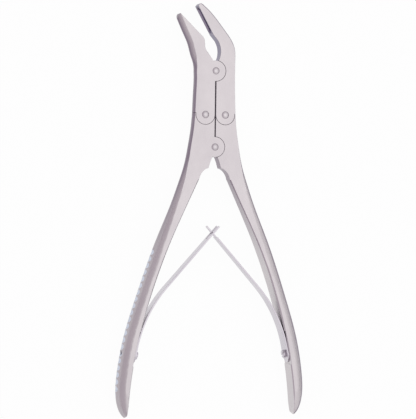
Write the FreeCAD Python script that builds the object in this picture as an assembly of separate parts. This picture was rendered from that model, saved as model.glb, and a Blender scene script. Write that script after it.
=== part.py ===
import FreeCAD, Part
import os
from math import asin, cos, degrees, radians, sin, sqrt, tan

# Double-action bone rongeur, jaws wide open, lying flat on its grips.
# It is drawn about the rear pivot with the lap plane at z = 0: +Y runs to the jaws, +Z up
# through the plates. At the end everything moves so that the box's bottom centre is the origin.
# All lengths are in millimetres and all angles in degrees.

# Linkage between the four pivots
handle_arm = 18.6            # rear pivot to a side pivot
jaw_arm = 24.8               # side pivot to the front pivot
open_half_spread = 5.7       # side pivot to the centre line, wide open
jaw_swing = 8.5              # turn of one jaw from wide open to shut

# Lock plates
plate_thickness = 6.5
centre_gap = 0.7             # slit between the left and right plates
lap_gap = 0.06               # between the two layers of a lap joint
front_disc_radius = 5.65
rear_disc_radius = 5.55
disc_gap = 0.15              # round a disc in its recess
horn_rise = 0.8              # outer horn beside the round end of a side joint
horn_root = 1.0              # horn's overlap with its own lever
plate_crown = 0.6            # bulge of the plates' outer edge
land_cut = 0.05              # planed off the front and back, which leaves them flat

# Outer edge of the lock, from the centre line
half_width_front = 11.55
half_width_side = 12.15
half_width_rear = 14.4

# Pins
pin_radius = 1.9
pin_dome = 0.25
pin_fit = 0.04               # radial play in the plate that turns
front_pin_fit = 0.08         # radial play of the pin that closes the loop of four levers

# Bite
bite_angle = 37.8            # lean of the shut bite line from the long axis
bite_offset = 8.1            # front pivot to the bite line
bite_heel = 18.2             # along the line, from the foot of that offset
bite_tip = 36.2
bite_gap = 0.1               # left between the shut edges
cup_radius = 2.6
cup_depth = 1.9
cup_margin = 3.4             # cup's end to the heel, and to the tip

# Mouth behind the bite, from the front pivot: the left wall slopes and then curves up to the
# heel, and the right wall is one curve
mouth_start = 1.35           # where both leave the front disc, from the centre line
mouth_overlap = 0.2          # start of the walls inside the disc
LEFT_MOUTH = [(-4.7, 9.9), (-6.0, 11.9), (-6.45, 14.2)]
LEFT_NECK_X = -6.7
neck_drop = 1.2              # neck below the heel
RIGHT_MOUTH = [(2.65, 11.3), (0.75, 16.9)]

# Tips, from the end of each bite edge
LEFT_TIP = [(-0.75, -1.3), (-0.95, -3.4), (-1.25, -9.4)]
RIGHT_TIP = [(0.9, 0.95), (3.2, 0.75)]
right_tip_fall = 2.0

# Handles
crotch_half_gap = 1.35       # where a handle leaves the rear disc, from the centre line
CROTCH = [(2.5, -8.0), (3.55, -11.6), (4.9, -12.0)]
crotch_bend = (7.2, -14.1)
grip_flat_depth = 11.5       # between the flat lands that the instrument lies on
flare_top = -9.0             # where a handle starts to deepen, from the rear pivot
flare_length = 63.0
inner_chamfer = 0.7

# Finger grooves, on the left grip only
groove_count = 21
groove_pitch = 3.85
groove_radius = 2.6
groove_depth = 0.6
groove_start = 61.5          # rear pivot's level to the first groove, along the edge

# Springs' seats, and the screws in them
seat_run = 98.5              # top of the inner edge to the seat's middle, along the edge
seat_depth = 0.25
seat_above = 9.0             # from its middle to its upper end
seat_below = 10.0
screw_drop = 4.0             # screw below the seat's middle
screw_shank_radius = 1.25
screw_head_radius = 2.2
screw_head_height = 1.6
screw_slot_width = 0.7
screw_slot_depth = 0.8
screw_slot_turn = 30.0       # from straight across the grip
screw_edge = 0.3             # rounding of the head
screw_engagement = 5.0       # shank inside the grip
screw_hole_play = 0.1        # round the shank in the spring

# Leaf springs
spring_thickness = 0.9
spring_root_width = 9.5
spring_tip_width = 5.4
spring_tail = 5.0            # beyond the screw
spring_corner = 19.0         # seat's middle to the corner of the bend
spring_bend_radius = 72.0
spring_crossing = 47.3       # below the rear pivot
spring_overrun = 5.0         # past the crossing
tongue_width = 1.7
tongue_start = 2.2           # before the crossing
fork_slot_width = 2.3
fork_slot_start = 3.2        # before the crossing

# Worked out from the sizes above
half_plate = plate_thickness / 2
half_gap = centre_gap / 2
side_end_radius = open_half_spread - half_gap
side_y = sqrt(handle_arm ** 2 - open_half_spread ** 2)
front_y = side_y + sqrt(jaw_arm ** 2 - open_half_spread ** 2)
shut_half_spread = jaw_arm * sin(asin(open_half_spread / jaw_arm) + radians(jaw_swing))
handle_swing = degrees(asin(shut_half_spread / handle_arm) - asin(open_half_spread / handle_arm))

# Stations down a handle's outer edge: x from the centre line, y, crown of the edge,
# reach of the body inwards, and how far its front and back drop towards the end
HANDLE_REACH = 26.0
HANDLE_STATIONS = [
    (half_width_side - 0.1, side_y + 6, plate_crown, HANDLE_REACH, 0),
    (half_width_side, side_y, plate_crown, HANDLE_REACH, 0),
    (half_width_side + 0.9, side_y - 9.5, plate_crown, HANDLE_REACH, 0),
    (half_width_rear, 0, plate_crown + 0.1, HANDLE_REACH, 0),
    (half_width_rear + 2.5, -11.5, plate_crown + 0.7, HANDLE_REACH, 0),
    (19.0, -18, 2.1, 22, 0),
    (23.7, -31.3, 3.0, 18, 0),
    (31.75, -51, 4.1, 14, 0),
    (37.9, -67.6, 4.7, 12, 0),
    (43.4, -84, 4.9, 11, 0),
    (49.4, -104, 5.0, 10.5, 0),
    (53.0, -124, 5.0, 10, 0),
    (53.6, -133.5, 4.8, 9, 0),
    (52.8, -140.5, 4.3, 7.5, 0.3),
    (51.2, -145, 3.4, 6, 1.0),
    (48.8, -148, 2.2, 4.5, 2.2),
]
# Inner edge of a grip: x from the centre line, y
GRIP_INNER_EDGE = [
    (8.8, -18), (15.1, -31.3), (24.3, -51), (36.4, -84), (44.3, -116), (47.3, -140), (48.0, -152),
]

# The same up the jaws' backs, y from the front pivot; the reach is that of a strip along the edge
STRIP = 4.0
tail_y = side_y - front_y
JAW_TAIL = [
    (half_width_side + 0.5, tail_y - 8, plate_crown, STRIP, 0),
    (half_width_side, tail_y, plate_crown, STRIP, 0),
    (half_width_front + 0.15, tail_y / 2, plate_crown, STRIP, 0),
    (half_width_front, 0, plate_crown, STRIP, 0),
]
LEFT_JAW_BACK = [
    (12.3, 4.5, 1.5, STRIP, 0),
    (13.6, 8, 2.7, STRIP, 0),
    (15.4, 14.2, 2.9, STRIP, 0),
    (18.4, 20.8, 2.8, STRIP, 0),
    (21.5, 27.6, 2.7, STRIP, 0),
    (24.6, 34.4, 2.6, STRIP, 0),
]
RIGHT_JAW_BACK = [
    (11.7, 7, 0.8, STRIP, 0),
    (11.6, 11.5, 1.0, STRIP, 0),
    (10.2, 16, 1.2, STRIP, 0),
    (5.6, 22.6, 1.2, STRIP, 0),
    (0.3, 29.2, 1.2, STRIP, 0),
    (-4.4, 34.1, 1.2, STRIP, 0),
    (-9.0, 37.6, 1.2, STRIP, 0),
]
# Spacing of the sections that are drawn through those stations
HANDLE_SECTIONS = 6.0
JAW_SECTIONS = 3.0
BEVEL_SECTIONS = 24

# Extents of construction solids, all outside the finished pieces
FAR = 80.0
LONG = 200.0
PLATE_REACH = 30.0
PLATE_RISE = 5.0
DEEP = grip_flat_depth / 2 + 1

Z_AXIS = FreeCAD.Vector(0, 0, 1)
REAR_PIVOT = FreeCAD.Vector(0, 0, 0)
FRONT_PIVOT = FreeCAD.Vector(0, front_y, 0)


def smooth_step(share):
    """Ease from 0 to 1 with flat ends."""
    share = min(max(share, 0.0), 1.0)
    return share * share * (3 - 2 * share)


def land_half(y):
    """Half depth of a handle: flat at the lock, flared, flat along the grip."""
    flat = grip_flat_depth / 2
    return half_plate + (flat - half_plate) * smooth_step((flare_top - y) / flare_length)


def point(x, y, z=0.0):
    return FreeCAD.Vector(x, y, z)


def above_front_pivot(pair):
    return point(pair[0], front_y + pair[1])


def turned(x, y, angle):
    """Turn a plane point about the front pivot."""
    c, s = cos(radians(angle)), sin(radians(angle))
    dx, dy = x, y - front_y
    return point(c * dx - s * dy, front_y + s * dx + c * dy)


def bite_point(along, off, swing):
    """A point of the bite line, off it towards the right jaw, with the jaw swung open by an angle."""
    a = radians(bite_angle)
    x = (bite_offset + off) * cos(a) - along * sin(a)
    y = front_y + (bite_offset + off) * sin(a) + along * cos(a)
    return turned(x, y, swing)


def line(a, b):
    return Part.LineSegment(a, b).toShape()


def arc(a, b, c):
    return Part.Arc(a, b, c).toShape()


def path(points):
    """Straight edges from point to point."""
    return [line(a, b) for a, b in zip(points, points[1:])]


def prism(edges, low, high):
    """Closed plane outline drawn up from one height to another."""
    face = Part.Face(Part.Wire(edges))
    face.translate(point(0, 0, low))
    return face.extrude(point(0, 0, high - low))


def disc(centre, radius, low, high):
    return Part.makeCylinder(radius, high - low, point(centre.x, centre.y, low))


def block(x0, y0, x1, y1, low, high):
    return Part.makeBox(abs(x1 - x0), abs(y1 - y0), high - low, point(min(x0, x1), min(y0, y1), low))


def smooth_curve(points):
    curve = Part.BSplineCurve()
    curve.interpolate(points)
    return curve


def edge_stations(stations, side, base_y, upward, spacing):
    """Even stations along an outer edge: point, outward direction, crown, reach and drop."""
    curve = smooth_curve([point(side * s[0], base_y + s[1]) for s in stations])
    marks = [curve.parameter(point(side * s[0], base_y + s[1])) for s in stations]
    count = int(curve.length() / spacing) + 1
    turn = side if upward else -side
    even = []
    for i in range(count + 1):
        u = curve.parameterAtDistance(curve.length() * i / count)
        k = max(j for j in range(len(marks) - 1) if marks[j] <= u + 1e-9)
        share = smooth_step((u - marks[k]) / (marks[k + 1] - marks[k]))
        form = [p + (q - p) * share for p, q in zip(stations[k][2:], stations[k + 1][2:])]
        outward = curve.tangent(u)[0].cross(Z_AXIS) * turn
        even.append((curve.value(u), outward, *form))
    return even


def crowned_envelope(even, half_depth):
    """Body with a crowned outer edge and a flat inner end, through even stations."""
    sections = []
    for p, outward, crown, reach, drop in even:
        up = Z_AXIS * (half_depth(p.y) + land_cut - drop)
        edge = p - outward * crown
        far = p - outward * reach
        sections.append(Part.Wire([
            arc(edge + up, p, edge - up),
            line(edge - up, far - up),
            line(far - up, far + up),
            line(far + up, edge + up),
        ]))
    return Part.makeLoft(sections, True, False)


def jaw_envelope(side):
    """Crowned strip along a jaw's back, with the plate inside it."""
    stations = JAW_TAIL + (LEFT_JAW_BACK if side < 0 else RIGHT_JAW_BACK)
    even = edge_stations(stations, side, front_y, True, JAW_SECTIONS)
    slab = block(-FAR, -LONG, FAR, LONG, -half_plate, half_plate)
    strip = crowned_envelope(even, lambda y: half_plate).common(slab)
    inset = smooth_curve([p - outward * (reach + crown) / 2 for p, outward, crown, reach, _ in even])
    low, high = inset.StartPoint, inset.EndPoint
    across = -side * PLATE_REACH
    around = path([high, point(across, high.y + PLATE_RISE), point(across, low.y), low])
    return strip.fuse(prism([inset.toShape()] + around, -half_plate, half_plate))


def depth_profile():
    """Front and back of a handle seen from the side: flat lock, flare, flat grip."""
    flare_end = flare_top - flare_length
    marks = [flare_top - flare_length * i / 8 for i in range(9)]
    flare = Part.BSplineCurve()
    down = point(0, -1)
    flare.interpolate(Points=[point(0, y, land_half(y)) for y in marks],
                      InitialTangent=down, FinalTangent=down)
    lock, grip = land_half(LONG), land_half(-LONG)
    half = [
        line(point(0, LONG, lock), point(0, flare_top, lock)),
        flare.toShape(),
        line(point(0, flare_end, grip), point(0, -LONG, grip)),
    ]
    back = [edge.mirror(REAR_PIVOT, Z_AXIS) for edge in half]
    ends = [line(point(0, y, z), point(0, y, -z)) for y, z in ((LONG, lock), (-LONG, grip))]
    face = Part.Face(Part.Wire(Part.__sortEdges__(half + back + ends)))
    face.translate(point(-FAR, 0))
    return face.extrude(point(2 * FAR, 0))


def side_pivot(side):
    return point(side * open_half_spread, side_y)


def own_end(centre, radius, in_front):
    """Round end that a lever carries in one layer of a lap joint."""
    if in_front:
        return disc(centre, radius, lap_gap / 2, DEEP)
    return disc(centre, radius, -DEEP, -lap_gap / 2)


def room_for_end(centre, radius, in_front):
    """Recess round the other lever's end, which lies in front or behind."""
    if in_front:
        return disc(centre, radius + disc_gap, -lap_gap / 2, DEEP)
    return disc(centre, radius + disc_gap, -DEEP, lap_gap / 2)


def horn(side, up):
    """Small outer horn beside a side joint, of the handle in front or of the jaw behind."""
    inner_x = side * (open_half_spread + side_end_radius + disc_gap)
    outer_x = side * HANDLE_REACH
    if up:
        return block(inner_x, side_y - horn_root, outer_x, side_y + horn_rise, lap_gap / 2, DEEP)
    return block(inner_x, side_y - horn_rise, outer_x, side_y + horn_root, -DEEP, -lap_gap / 2)


def room_for_horn(side, up):
    """Step beside a side joint that takes the other lever's horn."""
    inner_x = side * (open_half_spread + side_end_radius)
    outer_x = side * HANDLE_REACH
    rise = horn_rise + disc_gap
    if up:
        return block(inner_x, side_y - horn_root, outer_x, side_y + rise, -lap_gap / 2, DEEP)
    return block(inner_x, side_y - rise, outer_x, side_y + horn_root, -DEEP, lap_gap / 2)


def bore(centre, radius):
    return disc(centre, radius, -DEEP, DEEP)


def jaw_outline(side):
    """Plane outline of a jaw from the side pivot's level to the tip, open far outside."""
    swing = -side * jaw_swing
    off = side * bite_gap / 2
    heel = bite_point(bite_heel, off, swing)
    tip = bite_point(bite_tip, off, swing)
    wide = side * PLATE_REACH
    inner = side * half_gap
    disc_rise = sqrt(front_disc_radius ** 2 - mouth_start ** 2) - mouth_overlap
    throat = point(side * mouth_start, front_y + disc_rise)
    edges = path([point(wide, side_y), point(inner, side_y), point(inner, front_y), throat])
    if side < 0:
        bend, curve_middle, shoulder = [above_front_pivot(pair) for pair in LEFT_MOUTH]
        curl_middle, cheek, low = [tip + point(x, y) for x, y in LEFT_TIP]
        neck = point(LEFT_NECK_X, heel.y - neck_drop)
        edges += path([throat, bend])
        edges += [arc(bend, curve_middle, shoulder)]
        edges += path([shoulder, neck, heel, tip])
        edges += [arc(tip, curl_middle, cheek)]
        edges += path([cheek, low, point(wide, low.y), point(wide, side_y)])
    else:
        curve_middle, rise = [above_front_pivot(pair) for pair in RIGHT_MOUTH]
        round_middle, crest = [tip + point(x, y) for x, y in RIGHT_TIP]
        fall = point(wide, crest.y - right_tip_fall)
        edges += [arc(throat, curve_middle, rise)]
        edges += path([rise, heel, tip])
        edges += [arc(tip, round_middle, crest)]
        edges += path([crest, fall, point(wide, side_y)])
    return edges


def bite_cup(side):
    """Round-ended hollow along the bite face."""
    swing = -side * jaw_swing
    off = -side * (cup_radius - cup_depth)
    start = bite_point(bite_heel + cup_margin, off, swing)
    end = bite_point(bite_tip - cup_margin, off, swing)
    along = end - start
    cup = Part.makeCylinder(cup_radius, along.Length, start, along)
    return cup.fuse([Part.makeSphere(cup_radius, p) for p in (start, end)])


def make_jaw(side):
    """Jaw lever. At the front pivot the left one's disc is in front and the right one's behind."""
    pivot = side_pivot(side)
    left = side < 0
    body = prism(jaw_outline(side), -DEEP, DEEP)
    body = body.fuse(horn(side, False)).cut([
        room_for_horn(side, True),
        room_for_end(pivot, side_end_radius, False),
        room_for_end(FRONT_PIVOT, front_disc_radius, not left),
    ])
    body = body.fuse([
        own_end(pivot, side_end_radius, True),
        own_end(FRONT_PIVOT, front_disc_radius, left),
    ])
    body = body.common(jaw_envelope(side))
    return body.cut([
        bore(pivot, pin_radius + pin_fit),
        bore(FRONT_PIVOT, pin_radius if left else pin_radius + front_pin_fit),
        bite_cup(side),
    ])


def grip_edge(side):
    return smooth_curve([point(side * x, y) for x, y in GRIP_INNER_EDGE])


def handle_outline(side):
    """Plane outline of a handle, exact along its inner edge and open far outside."""
    inner = side * half_gap
    wide = side * FAR
    disc_drop = sqrt(rear_disc_radius ** 2 - crotch_half_gap ** 2) - mouth_overlap
    crotch = point(side * crotch_half_gap, -disc_drop)
    steps = [point(side * x, y) for x, y in CROTCH]
    edge = grip_edge(side)
    top, bottom = edge.StartPoint, edge.EndPoint
    edges = path([point(wide, side_y), point(inner, side_y), point(inner, 0), crotch] + steps)
    edges += [arc(steps[-1], point(side * crotch_bend[0], crotch_bend[1]), top), edge.toShape()]
    return edges + path([bottom, point(wide, bottom.y), point(wide, side_y)])


def make_handle(side):
    """Handle lever. At the rear pivot the left one's disc is in front and the right one's behind."""
    pivot = side_pivot(side)
    left = side < 0
    body = prism(handle_outline(side), -DEEP, DEEP)
    body = body.fuse(horn(side, True)).cut([
        room_for_horn(side, False),
        room_for_end(pivot, side_end_radius, True),
        room_for_end(REAR_PIVOT, rear_disc_radius, not left),
    ])
    body = body.fuse([
        own_end(pivot, side_end_radius, False),
        own_end(REAR_PIVOT, rear_disc_radius, left),
    ])
    even = edge_stations(HANDLE_STATIONS, side, 0, False, HANDLE_SECTIONS)
    body = body.common(crowned_envelope(even, land_half)).common(depth_profile())
    cutters = [
        bore(pivot, pin_radius),
        bore(REAR_PIVOT, pin_radius if left else pin_radius + pin_fit),
    ]
    if left:
        cutters += finger_grooves(side)
    return body.cut(cutters + grip_bevels(side) + seat_cutters(side))


def grip_bevels(side):
    """Cutters that bevel a grip's inner edges, front and back."""
    curve = grip_edge(side)
    clear = 1.0
    over = inner_chamfer + clear
    cutters = []
    for face in (1, -1):
        sections = []
        for i in range(BEVEL_SECTIONS + 1):
            u = curve.parameterAtDistance(curve.length() * i / BEVEL_SECTIONS)
            p = curve.value(u)
            into = curve.tangent(u)[0].cross(Z_AXIS) * -side
            low = land_half(p.y) - inner_chamfer
            corners = [(-clear, low - clear), (over, low + over), (-clear, low + over), (-clear, low - clear)]
            sections.append(Part.Wire(path([p + into * n + Z_AXIS * face * z for n, z in corners])))
        cutters.append(Part.makeLoft(sections, True, False))
    return cutters


def finger_grooves(side):
    """Cross grooves along the outer edge of a grip."""
    curve = smooth_curve([point(side * s[0], s[1]) for s in HANDLE_STATIONS])
    rear_level = curve.parameter(point(side * half_width_rear, 0))
    first = curve.length(curve.FirstParameter, rear_level) + groove_start
    cutters = []
    for i in range(groove_count):
        u = curve.parameterAtDistance(first + i * groove_pitch)
        outward = curve.tangent(u)[0].cross(Z_AXIS) * -side
        centre = curve.value(u) + outward * (groove_radius - groove_depth)
        cutters.append(disc(centre, groove_radius, -DEEP, DEEP))
    return cutters


def spring_seat(side):
    """Middle of the spring's flat seat, with the ways inwards and up along the grip."""
    curve = grip_edge(side)
    u = curve.parameterAtDistance(seat_run)
    up = curve.tangent(u)[0] * -1
    inward = up.cross(Z_AXIS) * -side
    return curve.value(u) - inward * seat_depth, inward, up


def on_seat(shape, side):
    """Move a shape drawn with +X off the seat and +Y up the grip to its place."""
    middle, inward, up = spring_seat(side)
    turn = FreeCAD.Rotation(inward, up, inward.cross(up), "XYZ")
    shape.Placement = FreeCAD.Placement(middle, turn) * shape.Placement
    return shape


def seat_cutters(side):
    """Flat for the spring's root and the screw's hole through the grip."""
    flat = block(0, -seat_below, seat_above, seat_above, -DEEP, DEEP)
    hole = Part.makeCylinder(screw_shank_radius, 2 * HANDLE_REACH, point(-HANDLE_REACH, -screw_drop), point(1, 0))
    return [on_seat(flat, side), on_seat(hole, side)]


def make_screw(side):
    """Slotted cheese-head screw that clamps the spring's root."""
    off_seat = point(1, 0)
    top = spring_thickness + screw_head_height
    head = Part.makeCylinder(screw_head_radius, screw_head_height, point(spring_thickness, 0), off_seat)
    head = head.makeFillet(screw_edge, [e for e in head.Edges if e.BoundBox.XMin > top - 0.01])
    slot = block(top - screw_slot_depth, -screw_slot_width / 2, top + screw_slot_depth, screw_slot_width / 2,
                 -2 * screw_head_radius, 2 * screw_head_radius)
    slot.rotate(REAR_PIVOT, off_seat, screw_slot_turn)
    shank = Part.makeCylinder(screw_shank_radius, screw_engagement + spring_thickness,
                              point(-screw_engagement, 0), off_seat)
    screw = head.cut(slot).fuse(shank).removeSplitter()
    screw.translate(point(0, -screw_drop))
    return on_seat(screw, side)


def make_leaf_spring(side):
    """Bent leaf: the left one ends in a fork and the right one in a tongue that passes through it."""
    middle, inward, up = spring_seat(side)
    half = spring_thickness / 2
    root = middle + inward * half
    start = root - up * (screw_drop + spring_tail)
    corner = root + up * spring_corner
    crossing = point(0, -spring_crossing)
    away = (crossing - corner).normalize()
    end = crossing + away * spring_overrun
    toward = Z_AXIS.cross(up) * side
    toward_away = Z_AXIS.cross(away) * side
    run = spring_bend_radius * tan(up.getAngle(away) / 2)
    bend_in, bend_out = corner - up * run, corner + away * run
    centre = bend_in + toward * spring_bend_radius
    apex = (toward + toward_away).normalize() * -1

    sides = []
    for off in (half, -half):
        sides.append([
            start + toward * off,
            bend_in + toward * off,
            centre + apex * (spring_bend_radius - off),
            bend_out + toward_away * off,
            end + toward_away * off,
        ])
    a, b = sides
    edges = [line(a[0], a[1]), arc(a[1], a[2], a[3]), line(a[3], a[4]), line(a[4], b[4])]
    edges += [line(b[4], b[3]), arc(b[3], b[2], b[1]), line(b[1], b[0]), line(b[0], a[0])]
    leaf = prism(edges, -DEEP, DEEP).common(leaf_width_profile(side, start.y, crossing.y, end.y + 1))
    if side < 0:
        slot_half = fork_slot_width / 2
        slot_reach = spring_tip_width + spring_overrun
        slot = block(-slot_reach, crossing.y - fork_slot_start, slot_reach, end.y + spring_overrun,
                     -slot_half, slot_half)
        leaf = leaf.cut(slot)
    hole = Part.makeCylinder(screw_shank_radius + screw_hole_play, 4 * spring_thickness,
                             point(-spring_thickness, -screw_drop), point(1, 0))
    return leaf.cut(on_seat(hole, side))


def leaf_width_profile(side, root_y, crossing_y, end_y):
    """Leaf's width seen from the side: round root, taper, and the right one's tongue."""
    root_half, tip_half, tongue_half = spring_root_width / 2, spring_tip_width / 2, tongue_width / 2
    widest = root_y + root_half
    half = [(widest, root_half), (end_y, tip_half)]
    if side > 0:
        shoulder = crossing_y - tongue_start
        half = [(widest, root_half), (shoulder, tip_half), (shoulder, tongue_half), (end_y, tongue_half)]
    corners = [point(0, y, z) for y, z in half] + [point(0, y, -z) for y, z in reversed(half)]
    root = arc(corners[-1], point(0, root_y), corners[0])
    face = Part.Face(Part.Wire([root] + path(corners)))
    face.translate(point(-FAR, 0))
    return face.extrude(point(2 * FAR, 0))


def make_pin(centre):
    """Riveted pin with a slightly domed head at both ends."""
    dome_radius = (pin_radius ** 2 + pin_dome ** 2) / (2 * pin_dome)
    pin = bore(centre, pin_radius)
    for way in (1, -1):
        dome_centre = centre + Z_AXIS * way * (half_plate + pin_dome - dome_radius)
        pin = pin.common(Part.makeSphere(dome_radius, dome_centre))
    return pin


pieces = {
    "left_handle": make_handle(-1),
    "right_handle": make_handle(1),
    "left_jaw": make_jaw(-1),
    "right_jaw": make_jaw(1),
    "front_pin": make_pin(FRONT_PIVOT),
    "rear_pin": make_pin(REAR_PIVOT),
    "left_pin": make_pin(side_pivot(-1)),
    "right_pin": make_pin(side_pivot(1)),
    "left_leaf_spring": make_leaf_spring(-1),
    "right_leaf_spring": make_leaf_spring(1),
    "left_spring_screw": make_screw(-1),
    "right_spring_screw": make_screw(1),
}
# The origin is the bottom centre of the whole instrument's box. Both grips reach
# as far out, so only y is measured
boxes = [shape.optimalBoundingBox(True, False) for shape in pieces.values()]
middle_y = (min(b.YMin for b in boxes) + max(b.YMax for b in boxes)) / 2
move = point(0, -middle_y, grip_flat_depth / 2)
os.makedirs("parts", exist_ok=True)
for name, shape in pieces.items():
    solid = shape.Solids[0]
    solid.translate(move)
    solid.exportStep("parts/" + name + ".step")
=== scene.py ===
"""Double-action bone rongeur in satin stainless steel, lying wide open on a white table.

The construction is loaded as a frame of named nodes. Each lever, pin, leaf spring and screw is
finished here: its sharp edges are broken, its faces are blasted, drawn, turned or ground, and the
two leaf springs are cut across so that they can bend with the handles.
"""

import logging
import math
from dataclasses import dataclass
from enum import Enum
from typing import Callable, Union

import bpy
from mathutils import Matrix, Vector

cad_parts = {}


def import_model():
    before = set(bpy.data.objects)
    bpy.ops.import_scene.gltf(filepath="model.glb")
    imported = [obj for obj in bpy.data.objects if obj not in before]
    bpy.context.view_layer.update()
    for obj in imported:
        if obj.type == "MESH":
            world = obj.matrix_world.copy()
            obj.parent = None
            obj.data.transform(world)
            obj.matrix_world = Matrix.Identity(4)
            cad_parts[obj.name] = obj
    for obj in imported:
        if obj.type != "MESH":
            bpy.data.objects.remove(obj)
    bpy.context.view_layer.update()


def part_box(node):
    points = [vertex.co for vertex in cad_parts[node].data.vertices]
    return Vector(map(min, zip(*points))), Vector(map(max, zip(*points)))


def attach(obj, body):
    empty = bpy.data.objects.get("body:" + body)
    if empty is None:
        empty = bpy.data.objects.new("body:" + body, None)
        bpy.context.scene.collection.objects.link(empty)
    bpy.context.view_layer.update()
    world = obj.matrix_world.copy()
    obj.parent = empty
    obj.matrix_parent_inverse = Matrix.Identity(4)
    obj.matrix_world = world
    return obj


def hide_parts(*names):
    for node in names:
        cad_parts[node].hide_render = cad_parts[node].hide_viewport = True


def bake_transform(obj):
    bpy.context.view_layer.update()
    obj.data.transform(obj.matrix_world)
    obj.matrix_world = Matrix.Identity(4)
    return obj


MM = 0.001
# Mesh attribute with the share of painted shade at each corner
PAINTED_SHADE_ATTRIBUTE = "wall_share"

log = logging.getLogger("rongeur")
Colour = tuple[float, float, float]


class Side(Enum):
    """Left or right, as the instrument lies with its jaws away from the viewer."""

    LEFT = -1
    RIGHT = 1

    @property
    def word(self) -> str:
        """Word that the names of this side's nodes start with."""
        return self.name.lower()

    @property
    def other(self) -> "Side":
        """The opposite side."""
        return Side(-self.value)


class Grain(Enum):
    """Way in which a steel surface was worked."""

    BLASTED = "glass-beaded, the same every way"
    GROUND = "fine lines along the long axis"
    DRAWN = "lines along a strip that stands on edge"
    TURNED = "rings round an upright axis"


class Signal:
    """Output socket of a node, on which arithmetic adds Math nodes."""

    def __init__(self, sketch: "NodeSketch", socket: bpy.types.NodeSocket) -> None:
        """Keep a socket with the sketch that its nodes are drawn in."""
        self.sketch = sketch
        self.socket = socket

    def _with(self, operation: str, first: "Value", second: "Value") -> "Signal":
        """Add one Math node.

        Args:
            operation: The node's operation.
            first: Its first input.
            second: Its second input.

        Returns:
            The node's result.
        """
        return self.sketch.add("ShaderNodeMath", {"operation": operation}, {0: first, 1: second})

    def __add__(self, other: "Value") -> "Signal":
        """Sum."""
        return self._with("ADD", self, other)

    def __radd__(self, other: "Value") -> "Signal":
        """Sum, from the right."""
        return self._with("ADD", other, self)

    def __sub__(self, other: "Value") -> "Signal":
        """Difference."""
        return self._with("SUBTRACT", self, other)

    def __mul__(self, other: "Value") -> "Signal":
        """Product."""
        return self._with("MULTIPLY", self, other)


Value = Union[Signal, float, int, tuple]


class NodeSketch:
    """Node tree that is written as expressions."""

    def __init__(self, tree: bpy.types.NodeTree) -> None:
        """Start on an emptied tree."""
        self.tree = tree
        self.tree.nodes.clear()

    def add(self, kind: str, settings: dict | None = None, inputs: dict | None = None,
            output: Union[int, str] = 0) -> Signal:
        """Add any node.

        Args:
            kind: The node's type.
            settings: Its properties, and "stops" for a ramp's places and greys.
            inputs: Values or signals, by socket name or number.
            output: The socket that is returned.

        Returns:
            The chosen output.
        """
        node = self.tree.nodes.new(kind)
        for name, value in (settings or {}).items():
            if name == "stops":
                self._set_stops(node.color_ramp, value)
            else:
                setattr(node, name, value)
        for key, value in (inputs or {}).items():
            if isinstance(value, Signal):
                self.tree.links.new(value.socket, node.inputs[key])
            else:
                node.inputs[key].default_value = value
        return Signal(self, node.outputs[output] if node.outputs else None)

    @staticmethod
    def _set_stops(ramp: bpy.types.ColorRamp, stops: tuple[tuple[float, float], ...]) -> None:
        """Give a ramp its grey stops.

        Args:
            ramp: The ramp, with its two first stops.
            stops: Place and grey of each stop, in order.
        """
        while len(ramp.elements) < len(stops):
            ramp.elements.new(1.0)
        for element, (place, grey) in zip(ramp.elements, stops):
            element.position = place
            element.color = (grey, grey, grey, 1.0)

    def mix(self, share: Value, low: Value, high: Value) -> Signal:
        """Mix two colours.

        Args:
            share: Share of the second colour.
            low: Colour at 0.
            high: Colour at 1.

        Returns:
            The mixed colour.
        """
        return self.add("ShaderNodeMix", {"data_type": "RGBA"}, {0: share, 6: low, 7: high}, 2)

    def place(self) -> Signal:
        """Place of the shaded point in the piece's own coordinates, in metres."""
        return self.add("ShaderNodeTexCoord", output="Object")

    def stretched(self, scale: tuple[float, float, float], origin: Vector | None = None) -> Signal:
        """Place, scaled along each axis about an origin.

        Args:
            scale: Repeats per metre along X, Y and Z.
            origin: Point that goes to zero.

        Returns:
            The scaled place.
        """
        about = origin or Vector()
        shift = tuple(-a * s for a, s in zip(about, scale))
        return self.add("ShaderNodeMapping", None,
                        {"Vector": self.place(), "Location": shift, "Scale": scale})

    def noise(self, where: Signal, detail: float = 3.0, roughness: float = 0.5) -> Signal:
        """Soft noise from 0 to 1.

        Args:
            where: Scaled place.
            detail: Octaves.
            roughness: Weight of the finer octaves.

        Returns:
            The noise value.
        """
        return self.add("ShaderNodeTexNoise", None,
                        {"Vector": where, "Scale": 1.0, "Detail": detail, "Roughness": roughness})


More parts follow.
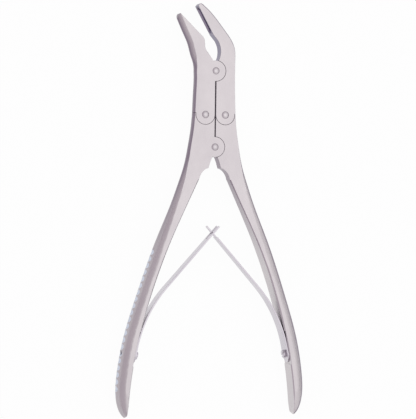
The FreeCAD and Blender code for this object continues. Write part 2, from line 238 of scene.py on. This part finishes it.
@dataclass(frozen=True)
class Steel:
    """Stainless steel with its grain, mottling and gloss, and painted shade on its steep walls.

    Sizes are in metres, and colours are linear reflectances.
    """

    name: str
    tone: Colour
    shade: Colour
    roughness: float
    roughness_spread: float
    grain: Grain
    grain_size: float
    grain_depth: float
    wave_depth: float = 0.0
    wave_size: float = 4 * MM
    axis: tuple[float, float, float] = (0.0, 0.0, 0.0)
    # Darker tone of the painted shade on steep walls
    wall_tone: Colour = (0.22, 0.175, 0.225)
    cloud_scale: tuple[float, float, float] = (70.0, 45.0, 70.0)
    cloud_stops: tuple[tuple[float, float], ...] = ((0.32, 0.0), (0.7, 1.0))
    smudge_scale: tuple[float, float, float] = (260.0, 190.0, 260.0)
    smudge_origin: tuple[float, float, float] = (0.3, 0.1, 0.2)
    grain_tone_share: float = 0.25
    # How much the grain breaks up the painted wall shade
    grain_wall_spread: float = 0.2
    grain_gloss_spread: float = 0.06
    ground_stretch: float = 45.0
    drawn_stretch: float = 60.0
    ring_share: float = 0.35
    ring_blur: float = 0.3

    def material(self) -> bpy.types.Material:
        """Build the material.

        Returns:
            A new material with all its nodes.
        """
        material = bpy.data.materials.new(self.name)
        material.use_nodes = True
        sketch = NodeSketch(material.node_tree)
        grain = self._grain(sketch)
        cloud = sketch.noise(sketch.stretched(self.cloud_scale), 4.0, 0.55)
        cloud = sketch.add("ShaderNodeValToRGB", {"stops": self.cloud_stops}, {0: cloud})
        smudge = sketch.noise(sketch.stretched(self.smudge_scale, Vector(self.smudge_origin)), 5.0, 0.6)
        wave = sketch.noise(sketch.stretched((1 / self.wave_size,) * 3), 2.0, 0.4)
        shade_share = cloud * (1 - self.grain_tone_share) + grain * self.grain_tone_share
        colour = sketch.mix(shade_share, (*self.tone, 1.0), (*self.shade, 1.0))
        # Painted shade: steep walls, by the share written in the mesh attribute, are mixed towards a
        # darker tone
        wall = sketch.add("ShaderNodeAttribute", {"attribute_name": PAINTED_SHADE_ATTRIBUTE}, output="Fac")
        wall = wall * (1 - self.grain_wall_spread / 2 + grain * self.grain_wall_spread)
        colour = sketch.mix(wall, colour, (*self.wall_tone, 1.0))
        roughness = self.roughness + (smudge - 0.5) * (2 * self.roughness_spread)
        roughness = roughness + (grain - 0.5) * self.grain_gloss_spread
        height = grain * self.grain_depth + wave * self.wave_depth
        normal = sketch.add("ShaderNodeBump", None, {"Strength": 1.0, "Distance": 1.0, "Height": height})
        shader = sketch.add("ShaderNodeBsdfPrincipled", None, {
            "Base Color": colour, "Metallic": 1.0, "Roughness": roughness, "Normal": normal})
        sketch.add("ShaderNodeOutputMaterial", None, {"Surface": shader})
        return material

    def _grain(self, sketch: NodeSketch) -> Signal:
        """Draw the grain.

        Args:
            sketch: The material's nodes.

        Returns:
            A value from 0 to 1.
        """
        fine = 1 / self.grain_size
        if self.grain is Grain.BLASTED:
            return sketch.noise(sketch.stretched((fine, fine, fine)), 2.0, 0.6)
        if self.grain is Grain.GROUND:
            return sketch.noise(sketch.stretched((fine, fine / self.ground_stretch, fine)), 3.0, 0.6)
        if self.grain is Grain.DRAWN:
            along = fine / self.drawn_stretch
            return sketch.noise(sketch.stretched((along, along, fine)), 3.0, 0.6)
        flat = sketch.stretched((1.0, 1.0, 0.0), Vector(self.axis))
        radius = sketch.add("ShaderNodeVectorMath", {"operation": "LENGTH"}, {0: flat}, "Value")
        ring = sketch.add("ShaderNodeMath", {"operation": "SINE"}, {0: radius * (math.tau * fine)})
        blur = sketch.noise(sketch.stretched((fine, fine, fine))) - 0.5
        return ring * self.ring_share + 0.5 + blur * self.ring_blur


@dataclass(frozen=True)
class TableTop:
    """Plain white top. The camera and the metal see it white, and it keeps the object's shadow."""

    name: str = "white_table_top"
    tone: Colour = (0.86, 0.86, 0.87)
    white_share: float = 0.96
    speck_scale: float = 900.0
    speck_dimming: float = 0.97

    def material(self) -> bpy.types.Material:
        """Build the material.

        Returns:
            A new material with all its nodes.
        """
        material = bpy.data.materials.new(self.name)
        material.use_nodes = True
        sketch = NodeSketch(material.node_tree)
        speck = sketch.noise(sketch.stretched((self.speck_scale,) * 3), 3.0)
        dimmed = (*(part * self.speck_dimming for part in self.tone), 1.0)
        tone = sketch.mix(speck, (*self.tone, 1.0), dimmed)
        paper = sketch.add("ShaderNodeBsdfDiffuse", None, {"Color": tone})
        white = sketch.add("ShaderNodeEmission", None, {"Color": (1.0, 1.0, 1.0, 1.0), "Strength": 1.0})
        seen = None
        for ray in ("Is Camera Ray", "Is Glossy Ray", "Is Transmission Ray"):
            mask = sketch.add("ShaderNodeLightPath", output=ray)
            seen = mask if seen is None else sketch.add(
                "ShaderNodeMath", {"operation": "MAXIMUM"}, {0: seen, 1: mask})
        surface = sketch.add("ShaderNodeMixShader", None,
                             {0: seen * self.white_share, 1: paper, 2: white})
        sketch.add("ShaderNodeOutputMaterial", None, {"Surface": surface})
        return material


SATIN = Steel("satin_steel", (0.62, 0.585, 0.597), (0.565, 0.532, 0.55), 0.33, 0.05,
              Grain.GROUND, 0.16 * MM, 0.0006 * MM, 0.0025 * MM, 5 * MM)
# Broken edges: polished to a lower roughness, with a lighter tone that is a painted highlight
EDGE_HIGHLIGHT = Steel("bright_edge_steel", (0.74, 0.71, 0.73), (0.68, 0.645, 0.68), 0.2, 0.05,
                    Grain.BLASTED, 0.12 * MM, 0.0003 * MM)
SPRING = Steel("spring_steel", (0.62, 0.59, 0.63), (0.54, 0.51, 0.56), 0.24, 0.05,
               Grain.DRAWN, 0.14 * MM, 0.0006 * MM)
# Spring edges: a lighter tone that is a painted highlight
SPRING_EDGE_HIGHLIGHT = Steel("spring_edge_steel", (0.7, 0.67, 0.7), (0.62, 0.59, 0.63), 0.2, 0.04,
                    Grain.DRAWN, 0.14 * MM, 0.0003 * MM)
# Ground steel of the bite and mouth: blasted grain, with a dark tone that is painted shade in the cup
GROUND_BITE_WITH_SHADE = Steel("ground_bite_steel", (0.42, 0.38, 0.47), (0.34, 0.31, 0.39), 0.26, 0.05,
                    Grain.BLASTED, 0.1 * MM, 0.0006 * MM, wall_tone=(0.2, 0.18, 0.26))
# Milled grooves with drawn grain; their light bluish tone, on the steep faces too, is a painted
# reflection
MILLED_GROOVE_REFLECTION = Steel("milled_groove_steel", (0.56, 0.6, 0.71), (0.48, 0.52, 0.63), 0.3, 0.06,
                      Grain.DRAWN, 0.12 * MM, 0.0008 * MM, wall_tone=(0.54, 0.58, 0.69))


# Rise of a surface from the flat at which the painted wall shade starts and is full, for each side; the
# two sides differ because the light falls differently on them
PAINTED_SHADE_REACHES = {Side.LEFT: (0.12, 0.65), Side.RIGHT: (0.2, 0.34)}

# Share of painted shade on the outside of each grip, set for each side by how the light falls on it
GRIP_PAINTED_SHADES = {Side.LEFT: 0.35, Side.RIGHT: 1.0}


def eased(share: float) -> float:
    """Ease a share from 0 to 1 with flat ends."""
    share = min(max(share, 0.0), 1.0)
    return share * share * (3 - 2 * share)


def deselect_all() -> None:
    """Leave object mode with nothing selected."""
    if bpy.context.object and bpy.context.object.mode != "OBJECT":
        bpy.ops.object.mode_set(mode="OBJECT")
    bpy.ops.object.select_all(action="DESELECT")


def make_active(piece: bpy.types.Object) -> None:
    """Select one piece alone and make it active.

    Args:
        piece: The piece.
    """
    deselect_all()
    piece.select_set(True)
    bpy.context.view_layer.objects.active = piece


def choose_faces(piece: bpy.types.Object, wanted: Callable[[bpy.types.MeshPolygon], bool]) -> None:
    """Select faces by a test, for the edit-mode operators that follow.

    Args:
        piece: The active piece, in edit mode.
        wanted: Test of one face.
    """
    bpy.ops.mesh.select_mode(type="FACE")
    bpy.ops.mesh.select_all(action="DESELECT")
    bpy.ops.object.mode_set(mode="OBJECT")
    for face in piece.data.polygons:
        face.select = wanted(face)
    bpy.ops.object.mode_set(mode="EDIT")


@dataclass
class SteelPiece:
    """Finished piece that stands for one node of the frame.

    Sizes are in metres and angles in degrees.
    """

    node: str
    body: str
    slot: str
    finish: Steel
    edge_finish: Steel
    edge_width: float = 0.1 * MM
    edge_angle: float = 30.0
    edge_segments: int = 2
    weld: float = 0.004 * MM
    flat_angle: float = 0.05

    def build(self) -> bpy.types.Object:
        """Model, dress and seat the piece.

        Returns:
            The finished piece.
        """
        piece = self.model()
        self.dress(piece)
        self.break_edges(piece)
        self.mark_walls(piece)
        self.seat(piece)
        log.info("%s: %d faces", piece.name, len(piece.data.polygons))
        return piece

    def model(self) -> bpy.types.Object:
        """Copy the node, with its loose triangles joined and its flat faces made whole.

        Returns:
            The copy.
        """
        source = bpy.data.objects[self.node]
        piece = bpy.data.objects.new(self.node + "_finished", source.data.copy())
        bpy.context.scene.collection.objects.link(piece)
        make_active(piece)
        bpy.ops.object.mode_set(mode="EDIT")
        bpy.ops.mesh.select_all(action="SELECT")
        bpy.ops.mesh.remove_doubles(threshold=self.weld)
        bpy.ops.mesh.dissolve_limited(angle_limit=math.radians(self.flat_angle))
        bpy.ops.object.mode_set(mode="OBJECT")
        return piece

    def dress(self, piece: bpy.types.Object) -> None:
        """Give the piece its two finishes, for its faces and for its broken edges, whose lighter tone is
        a painted highlight.

        Args:
            piece: The modelled piece.
        """
        piece.data.materials.clear()
        for finish in (self.finish, self.edge_finish):
            piece.data.materials.append(shared_material(finish))
        for face in piece.data.polygons:
            face.material_index = 0

    def break_edges(self, piece: bpy.types.Object) -> None:
        """Round the sharp edges a little and smooth the shading between them.

        Args:
            piece: The dressed piece.
        """
        make_active(piece)
        bpy.ops.object.shade_smooth_by_angle(angle=math.radians(self.edge_angle))
        bevel = piece.modifiers.new("broken edges", "BEVEL")
        bevel.width = self.edge_width
        bevel.segments = self.edge_segments
        bevel.limit_method = "ANGLE"
        bevel.angle_limit = math.radians(self.edge_angle)
        bevel.use_clamp_overlap = False
        # The bevels take the edge material, whose lighter tone is a painted highlight
        bevel.material = 1
        weighted = piece.modifiers.new("even shading", "WEIGHTED_NORMAL")
        weighted.keep_sharp = True
        for modifier in (bevel, weighted):
            bpy.ops.object.modifier_apply(modifier=modifier.name)

    def mark_walls(self, piece: bpy.types.Object) -> None:
        """Write how much painted shade each corner of the mesh takes, by how far it belongs to a steep
        wall.

        Args:
            piece: The piece with its broken edges.
        """
        mesh = piece.data
        # Painted shade: how much of the darker tone each corner takes
        painted_shades = mesh.attributes.new(PAINTED_SHADE_ATTRIBUTE, "FLOAT", "CORNER")
        for loop, share, corner in zip(mesh.loops, painted_shades.data, mesh.corner_normals):
            share.value = self.wall_share(corner.vector, mesh.vertices[loop.vertex_index].co)

    def wall_share(self, normal: Vector, place: Vector) -> float:
        """Share of the painted wall shade at a corner.

        Args:
            normal: The way the surface faces there.
            place: The corner's place.

        Returns:
            A share from 0 to 1.
        """
        return 0.0

    def seat(self, piece: bpy.types.Object) -> None:
        """Fix the piece to its body in place of its node.

        Args:
            piece: The finished piece.
        """
        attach(piece, self.body)
        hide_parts(self.node)


MATERIALS: dict[str, bpy.types.Material] = {}


def shared_material(finish: Union[Steel, TableTop]) -> bpy.types.Material:
    """Build a finish's material once.

    Args:
        finish: The finish.

    Returns:
        Its material.
    """
    if finish.name not in MATERIALS:
        MATERIALS[finish.name] = finish.material()
    return MATERIALS[finish.name]


@dataclass
class Lever(SteelPiece):
    """Lever with polished flats, painted shade on its walls and one more finish on some of its faces."""

    side: Side = Side.LEFT
    extra_finish: Steel | None = None
    wall_reach: tuple[float, float] = (0.12, 0.65)

    def dress(self, piece: bpy.types.Object) -> None:
        """Add the third finish to the two of every piece.

        Args:
            piece: The modelled piece.
        """
        super().dress(piece)
        piece.data.materials.append(shared_material(self.extra_finish))
        for face in piece.data.polygons:
            if self.has_extra_finish(face):
                face.material_index = 2

    def has_extra_finish(self, face: bpy.types.MeshPolygon) -> bool:
        """Whether a face has the third finish.

        Args:
            face: The face.

        Returns:
            True where it has.
        """
        return False

    def faces_out(self, way: Vector) -> bool:
        """Whether a direction points away from the instrument's middle."""
        return way.x * self.side.value > 0

    def wall_share(self, normal: Vector, place: Vector) -> float:
        """Painted shade: steeper surfaces are darker.

        Args:
            normal: The way the surface faces there.
            place: The corner's place.

        Returns:
            A share from 0 to 1.
        """
        start, end = self.wall_reach
        return eased((1 - abs(normal.z) - start) / (end - start))


@dataclass
class Handle(Lever):
    """Handle lever with its grip; the painted shade on its inner wall lightens down the grip, and its
    outer wall takes a painted shade set for its side.
    """

    rear_level: float = 0.0
    inner_share: float = 0.8
    inner_grip_share: float = 0.03
    outer_grip_share: float = 1.0
    fade: float = 70 * MM
    groove_low: float = -102 * MM
    groove_high: float = -20 * MM
    groove_tilt: float = 0.02

    def has_extra_finish(self, face: bpy.types.MeshPolygon) -> bool:
        """Whether a face lies in a finger groove, which was milled straight through.

        Args:
            face: The face.

        Returns:
            True in a groove.
        """
        in_reach = self.groove_low < face.center.y < self.groove_high
        return in_reach and abs(face.normal.z) < self.groove_tilt and self.faces_out(face.normal)

    def wall_share(self, normal: Vector, place: Vector) -> float:
        """Painted shade: steeper surfaces are darker, and the inner wall less so down the grip.

        Args:
            normal: The way the surface faces there.
            place: The corner's place.

        Returns:
            A share from 0 to 1.
        """
        share = super().wall_share(normal, place)
        down = eased((self.rear_level - place.y) / self.fade)
        if self.faces_out(normal):
            return share * (1.0 + (self.outer_grip_share - 1.0) * down)
        return share * (self.inner_share + (self.inner_grip_share - self.inner_share) * down)


@dataclass
class Jaw(Lever):
    """Jaw lever with its cupped bite, whose ground faces are darkened by painted shade."""

    mouth_low: float = 0.0
    flat_slope: float = 0.95
    inward_slope: float = 0.15

    def has_extra_finish(self, face: bpy.types.MeshPolygon) -> bool:
        """Whether a face belongs to the bite or to the mouth behind it.

        Args:
            face: The face.

        Returns:
            True there.
        """
        above = face.center.y > self.mouth_low
        inward = face.normal.x * self.side.value < -self.inward_slope
        return above and inward and abs(face.normal.z) < self.flat_slope


@dataclass
class RivetPin(SteelPiece):
    """Riveted pin, with a dome that rises from below the plate at both ends."""

    steps: tuple[tuple[float, float], ...] = (
        (0.3 * MM, 0.14 * MM), (0.3 * MM, 0.13 * MM), (0.25 * MM, 0.09 * MM), (0.3 * MM, 0.07 * MM),
        (0.35 * MM, 0.04 * MM), (0.3 * MM, 0.01 * MM))
    spread: float = 0.08 * MM
    sides: int = 64
    rim_rise: float = 0.2
    rim_share: float = 0.5
    end_slope: float = 0.9

    def wall_share(self, normal: Vector, place: Vector) -> float:
        """Painted shade: the dome's steep rim is darker.

        Args:
            normal: The way the surface faces there.
            place: The corner's place.

        Returns:
            A share from 0 to 1.
        """
        return self.rim_share * eased((1 - abs(normal.z)) / self.rim_rise)

    def model(self) -> bpy.types.Object:
        """Turn the pin from a cylinder.

        Returns:
            The pin.
        """
        low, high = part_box(self.node)
        centre = (low + high) / 2
        radius = (high.x - low.x) / 2 + self.spread
        shoulder = high.z - centre.z - sum(rise for _, rise in self.steps)
        deselect_all()
        bpy.ops.mesh.primitive_cylinder_add(vertices=self.sides, radius=radius, depth=2 * shoulder,
                                            location=centre)
        piece = bpy.context.object
        piece.name = self.node + "_finished"
        bpy.ops.object.transform_apply(location=True, rotation=True, scale=True)
        bpy.ops.object.mode_set(mode="EDIT")
        for way in (1, -1):
            choose_faces(piece, lambda face: face.normal.z * way > self.end_slope)
            for width, rise in self.steps:
                bpy.ops.mesh.inset(thickness=width, depth=rise)
        bpy.ops.object.mode_set(mode="OBJECT")
        return piece


@dataclass
class SpringScrew(SteelPiece):
    """Slotted cheese-head screw."""


@dataclass
class LeafSpring(SteelPiece):
    """Leaf spring, cut across so that it can bend while the handles turn."""

    side: Side = Side.LEFT
    cut_spacing: float = 2.5 * MM
    clamped_run: float = 8 * MM

    def model(self) -> bpy.types.Object:
        """Copy the node and cut it across along its whole length.

        Returns:
            The copy.
        """
        piece = super().model()
        low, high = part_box(self.node)
        count = int((high - low).length / self.cut_spacing)
        root, tip = self.ends()
        along = (tip - root).normalized()
        bpy.ops.object.mode_set(mode="EDIT")
        for i in range(1, count):
            bpy.ops.mesh.select_all(action="SELECT")
            bpy.ops.mesh.bisect(plane_co=root.lerp(tip, i / count), plane_no=along)
        bpy.ops.object.mode_set(mode="OBJECT")
        return piece

    def ends(self) -> tuple[Vector, Vector]:
        """Root and tip of the leaf, from its box.

        Returns:
            The two points.
        """
        low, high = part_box(self.node)
        middle = (low.z + high.z) / 2
        if self.side is Side.LEFT:
            return Vector((low.x, low.y, middle)), Vector((high.x, high.y, middle))
        return Vector((high.x, low.y, middle)), Vector((low.x, high.y, middle))

    def seat(self, piece: bpy.types.Object) -> None:
        """Bake the leaf's place into its mesh where its node lies, and hide the node.

        Args:
            piece: The finished leaf.
        """
        screw_low, screw_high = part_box(f"{self.side.word}_spring_screw")
        start = (screw_low + screw_high) / 2
        root, tip = self.ends()
        start = start + (tip - root).normalized() * self.clamped_run
        f"{self.side.other.word}_handle"
        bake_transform(piece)
        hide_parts(self.node)


@dataclass
class Studio:
    """Table, lamp, surroundings and camera.

    Sizes are in metres and angles in degrees.
    """

    table_radius: float = 3.0
    table_sides: int = 128
    image_width: int = 416
    image_height: int = 419
    focal_pixels: float = 1818.0
    sensor: float = 36.0
    lean: float = 17.0
    roll: float = 0.76
    distance: float = 1.0
    aim: tuple[float, float, float] = (-2.55 * MM, 0.36 * MM, 5.75 * MM)
    bright_way: tuple[float, float, float] = (0.65, 0.0, 0.75)
    dark_reach: float = 0.3
    lit_reach: float = 0.75
    dim_tone: Colour = (0.66, 0.6, 0.65)
    lit_tone: Colour = (0.97, 0.95, 0.96)
    edge_start: float = 0.955
    edge_end: float = 0.99
    edge_tone: Colour = (0.26, 0.23, 0.28)
    edge_way: tuple[float, float, float] = (1.0, 0.0, 0.0)
    lamp_place: tuple[float, float, float] = (0.35, 0.1, 1.2)
    lamp_size: float = 0.8
    lamp_power: float = 0.6

    def build(self) -> None:
        """Lay the table and set the light and the camera."""
        self.lay_table()
        self.light()
        self.set_camera()
        bpy.context.scene.view_settings.view_transform = "Standard"

    def lay_table(self) -> None:
        """Make the round white top that the instrument lies on."""
        deselect_all()
        bpy.ops.mesh.primitive_circle_add(vertices=self.table_sides, radius=self.table_radius,
                                          fill_type="NGON")
        table = bpy.context.object
        table.name = "table_top"
        table.data.materials.append(shared_material(TableTop()))

    def light(self) -> None:
        """Surround the table with light that dims to the left, and hang one weak lamp overhead."""
        world = bpy.context.scene.world or bpy.data.worlds.new("surroundings")
        bpy.context.scene.world = world
        world.use_nodes = True
        sketch = NodeSketch(world.node_tree)
        lit = self.reach(sketch, self.bright_way, self.dark_reach, self.lit_reach)
        tone = sketch.mix(lit, (*self.dim_tone, 1.0), (*self.lit_tone, 1.0))
        edge = self.reach(sketch, self.edge_way, self.edge_start, self.edge_end)
        tone = sketch.mix(edge, tone, (*self.edge_tone, 1.0))
        sky = sketch.add("ShaderNodeBackground", None, {"Color": tone, "Strength": 1.0})
        sketch.add("ShaderNodeOutputWorld", None, {"Surface": sky})
        self.hang_lamp()

    @staticmethod
    def reach(sketch: NodeSketch, way: tuple[float, float, float], start: float, end: float) -> Signal:
        """Grade the surroundings by how near their direction is to a given way.

        Args:
            sketch: The world's nodes.
            way: The given way.
            start: Nearness at which the value leaves 0.
            end: Nearness at which it reaches 1.

        Returns:
            A value from 0 to 1.
        """
        seen = sketch.add("ShaderNodeTexCoord", output="Generated")
        near = sketch.add("ShaderNodeVectorMath", {"operation": "DOT_PRODUCT"},
                          {0: seen, 1: way}, "Value")
        return sketch.add("ShaderNodeValToRGB", {"stops": ((start, 0.0), (end, 1.0))}, {0: near})

    def hang_lamp(self) -> None:
        """Hang a square area lamp that faces the instrument."""
        place = Vector(self.lamp_place)
        data = bpy.data.lights.new("overhead_lamp", "AREA")
        data.shape = "SQUARE"
        data.size = self.lamp_size
        data.energy = self.lamp_power
        lamp = bpy.data.objects.new("overhead_lamp", data)
        lamp.location = place
        lamp.rotation_euler = (-place).to_track_quat("-Z", "Y").to_euler()
        bpy.context.scene.collection.objects.link(lamp)

    def set_camera(self) -> None:
        """Look down on the instrument, leaning to its left."""
        lean, roll = math.radians(self.lean), math.radians(self.roll)
        across = Vector((math.cos(lean), 0.0, math.sin(lean)))
        away = Vector((0.0, 1.0, 0.0))
        right = across * math.cos(roll) + away * math.sin(roll)
        up = away * math.cos(roll) - across * math.sin(roll)
        back = Vector((-math.sin(lean), 0.0, math.cos(lean)))
        data = bpy.data.cameras.new("camera")
        data.sensor_width = self.sensor
        data.lens = self.sensor * self.focal_pixels / max(self.image_width, self.image_height)
        camera = bpy.data.objects.new("camera", data)
        turn = Matrix((right, up, back)).transposed().to_4x4()
        camera.matrix_world = Matrix.Translation(Vector(self.aim) + back * self.distance) @ turn
        bpy.context.scene.collection.objects.link(camera)
        bpy.context.scene.camera = camera


def turned_finish(node: str) -> Steel:
    """Turned steel whose rings are centred on an upright pin.

    Args:
        node: The pin's node.

    Returns:
        The finish.
    """
    low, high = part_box(node)
    return Steel(f"turned_steel_{node}", (0.66, 0.625, 0.64), (0.58, 0.55, 0.57), 0.26, 0.04,
                 Grain.TURNED, 0.22 * MM, 0.0012 * MM, axis=tuple((low + high) / 2))


def main() -> None:
    """Finish every piece of the instrument and set the studio."""
    logging.basicConfig(level=logging.INFO, format="%(name)s: %(message)s")
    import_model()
    rear_pin_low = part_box("rear_pin")[0]
    front_pin_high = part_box("front_pin")[1]
    for side in Side:
        word = side.word
        Handle(f"{word}_handle", f"{word}_handle", "body_steel", SATIN, EDGE_HIGHLIGHT,
               side=side, extra_finish=MILLED_GROOVE_REFLECTION, rear_level=rear_pin_low.y,
               outer_grip_share=GRIP_PAINTED_SHADES[side], wall_reach=PAINTED_SHADE_REACHES[side]).build()
        Jaw(f"{word}_jaw", f"{word}_jaw", "jaw_steel", SATIN, EDGE_HIGHLIGHT,
            side=side, extra_finish=GROUND_BITE_WITH_SHADE, mouth_low=front_pin_high.y,
            wall_reach=PAINTED_SHADE_REACHES[side]).build()
        LeafSpring(f"{word}_leaf_spring", f"{word}_handle", "spring_steel", SPRING, SPRING_EDGE_HIGHLIGHT,
                   side=side).build()
        SpringScrew(f"{word}_spring_screw", f"{word}_handle", "screw_steel", SPRING,
                    EDGE_HIGHLIGHT).build()
    pins = {"front_pin": "left_jaw", "rear_pin": "left_handle", "left_pin": "left_handle",
            "right_pin": "right_handle"}
    for node, body in pins.items():
        RivetPin(node, body, "pin_steel", turned_finish(node), EDGE_HIGHLIGHT, edge_width=0.05 * MM).build()
    Studio().build()


if __name__ == "__main__":
    main()
